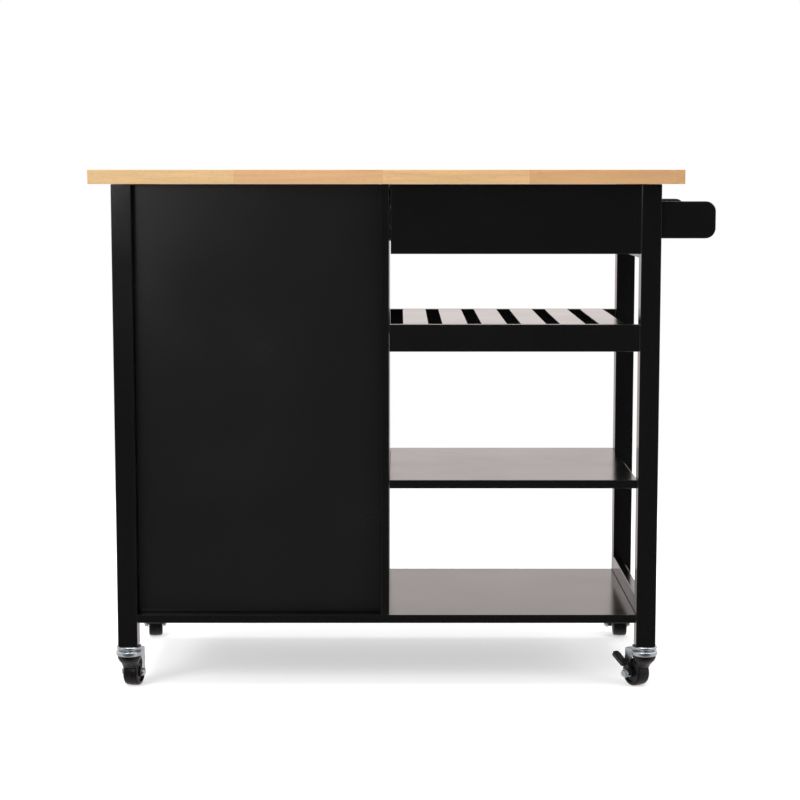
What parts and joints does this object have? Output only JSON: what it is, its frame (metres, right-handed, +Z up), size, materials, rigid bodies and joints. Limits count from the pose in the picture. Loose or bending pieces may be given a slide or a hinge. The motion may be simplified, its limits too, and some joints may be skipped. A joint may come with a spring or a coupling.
{
  "type": "kitchen island cart",
  "caption": "Rolling kitchen island cart with a wooden worktop, black frame, cupboard door, drawer, slatted rack, open shelves, end towel rail and swivel casters.",
  "frame": {"origin": "on the floor, under the middle of the box that holds the whole cart at rest", "axes": "+Z up; +Y towards the side with the door and the drawer; +X towards the end with the towel rail"},
  "size_m": [1.098, 0.4794, 0.93],
  "materials": {
    "black_lacquer": "satin black lacquer on fibreboard and rubberwood",
    "worktop_wood": "satin clear lacquer on finger-jointed rubberwood",
    "drawer_wood": "clear-lacquered plywood",
    "plated_steel": "bright zinc plating on pressed steel",
    "satin_nickel": "satin nickel plating",
    "wheel_plastic": "moulded black polypropylene, slightly worn tread",
    "lever_plastic": "moulded black nylon"
  },
  "bodies": {
    "cart_frame": {"leg_rear_left": "black_lacquer", "leg_rear_right": "black_lacquer", "leg_front_left": "black_lacquer", "leg_front_right": "black_lacquer", "bottom_board": "black_lacquer", "divider_panel": "black_lacquer", "back_panel": "black_lacquer", "side_panel_left": "black_lacquer", "side_rail_top_right": "black_lacquer", "side_rail_bottom_right": "black_lacquer", "mid_shelf": "black_lacquer", "slat_rail_rear": "black_lacquer", "slat_rail_front": "black_lacquer", "slat_1": "black_lacquer", "slat_2": "black_lacquer", "slat_3": "black_lacquer", "slat_4": "black_lacquer", "slat_5": "black_lacquer", "slat_6": "black_lacquer", "apron_rear": "black_lacquer", "towel_bracket_rear": "black_lacquer", "towel_bracket_front": "black_lacquer", "towel_bar": "black_lacquer", "inner_shelf": "black_lacquer", "worktop": "worktop_wood", "runner_left_fixed": "plated_steel", "runner_right_fixed": "plated_steel", "caster_mount_rear_left": "plated_steel", "caster_mount_rear_right": "plated_steel", "caster_mount_front_left": "plated_steel", "caster_mount_front_right": "plated_steel", "hinge_bottom_frame_leaf": "satin_nickel", "hinge_top_frame_leaf": "satin_nickel"},
    "drawer": {"drawer_front": "black_lacquer", "drawer_side_left": "drawer_wood", "drawer_side_right": "drawer_wood", "drawer_back": "drawer_wood", "drawer_bottom": "drawer_wood", "drawer_knob": "satin_nickel", "runner_left_moving": "plated_steel", "runner_right_moving": "plated_steel"},
    "door": {"door_frame": "black_lacquer", "door_panel": "black_lacquer", "door_knob": "satin_nickel", "hinge_bottom_door_leaf": "satin_nickel", "hinge_top_door_leaf": "satin_nickel"},
    "caster_rear_left": {"caster_fork_rear_left": "plated_steel", "caster_axle_rear_left": "plated_steel"},
    "caster_wheel_rear_left": {"wheel_rear_left": "wheel_plastic"},
    "caster_rear_right": {"caster_fork_rear_right": "plated_steel", "caster_axle_rear_right": "plated_steel"},
    "caster_wheel_rear_right": {"wheel_rear_right": "wheel_plastic"},
    "caster_front_left": {"caster_fork_front_left": "plated_steel", "caster_axle_front_left": "plated_steel"},
    "caster_wheel_front_left": {"wheel_front_left": "wheel_plastic"},
    "caster_front_right": {"caster_fork_front_right": "plated_steel", "caster_axle_front_right": "plated_steel"},
    "caster_wheel_front_right": {"wheel_front_right": "wheel_plastic"},
    "brake_rear_right": {"brake_lever_rear_right": "lever_plastic"},
    "brake_front_right": {"brake_lever_front_right": "lever_plastic"}
  },
  "joints": [
    {"name": "drawer_slide", "type": "slide", "parent": "cart_frame", "child": "drawer", "axis": [0, 1, 0], "range_m": [0, 0.3]},
    {"name": "door_hinge", "type": "hinge", "parent": "cart_frame", "child": "door", "pos_m": [-0.47475, 0.19934, 0.5215], "axis": [0, 0, 1], "range_deg": [0, 165]},
    {"name": "swivel_rear_left", "type": "hinge", "parent": "cart_frame", "child": "caster_rear_left", "pos_m": [-0.4935, -0.20716, 0.07], "axis": [0, 0, 1], "continuous": true},
    {"name": "wheel_spin_rear_left", "type": "hinge", "parent": "caster_rear_left", "child": "caster_wheel_rear_left", "pos_m": [-0.48821, -0.18427, 0.025], "axis": [0.9744, -0.225, 0], "continuous": true},
    {"name": "swivel_rear_right", "type": "hinge", "parent": "cart_frame", "child": "caster_rear_right", "pos_m": [0.4355, -0.20716, 0.07], "axis": [0, 0, 1], "continuous": true},
    {"name": "wheel_spin_rear_right", "type": "hinge", "parent": "caster_rear_right", "child": "caster_wheel_rear_right", "pos_m": [0.4234, -0.18702, 0.025], "axis": [0.8572, 0.515, 0], "continuous": true},
    {"name": "brake_press_rear_right", "type": "hinge", "parent": "caster_rear_right", "child": "brake_rear_right", "pos_m": [0.4234, -0.18702, 0.025], "axis": [-0.8572, -0.515, 0], "range_deg": [0, 15]},
    {"name": "swivel_front_left", "type": "hinge", "parent": "cart_frame", "child": "caster_front_left", "pos_m": [-0.4935, 0.17784, 0.07], "axis": [0, 0, 1], "continuous": true},
    {"name": "wheel_spin_front_left", "type": "hinge", "parent": "caster_front_left", "child": "caster_wheel_front_left", "pos_m": [-0.49677, 0.20111, 0.025], "axis": [0.9903, 0.1392, 0], "continuous": true},
    {"name": "swivel_front_right", "type": "hinge", "parent": "cart_frame", "child": "caster_front_right", "pos_m": [0.4355, 0.17784, 0.07], "axis": [0, 0, 1], "continuous": true},
    {"name": "wheel_spin_front_right", "type": "hinge", "parent": "caster_front_right", "child": "caster_wheel_front_right", "pos_m": [0.43632, 0.20132, 0.025], "axis": [0.9994, -0.0349, 0], "continuous": true},
    {"name": "brake_press_front_right", "type": "hinge", "parent": "caster_front_right", "child": "brake_front_right", "pos_m": [0.43632, 0.20132, 0.025], "axis": [-0.9994, 0.0349, 0], "range_deg": [0, 15]}
  ]
}
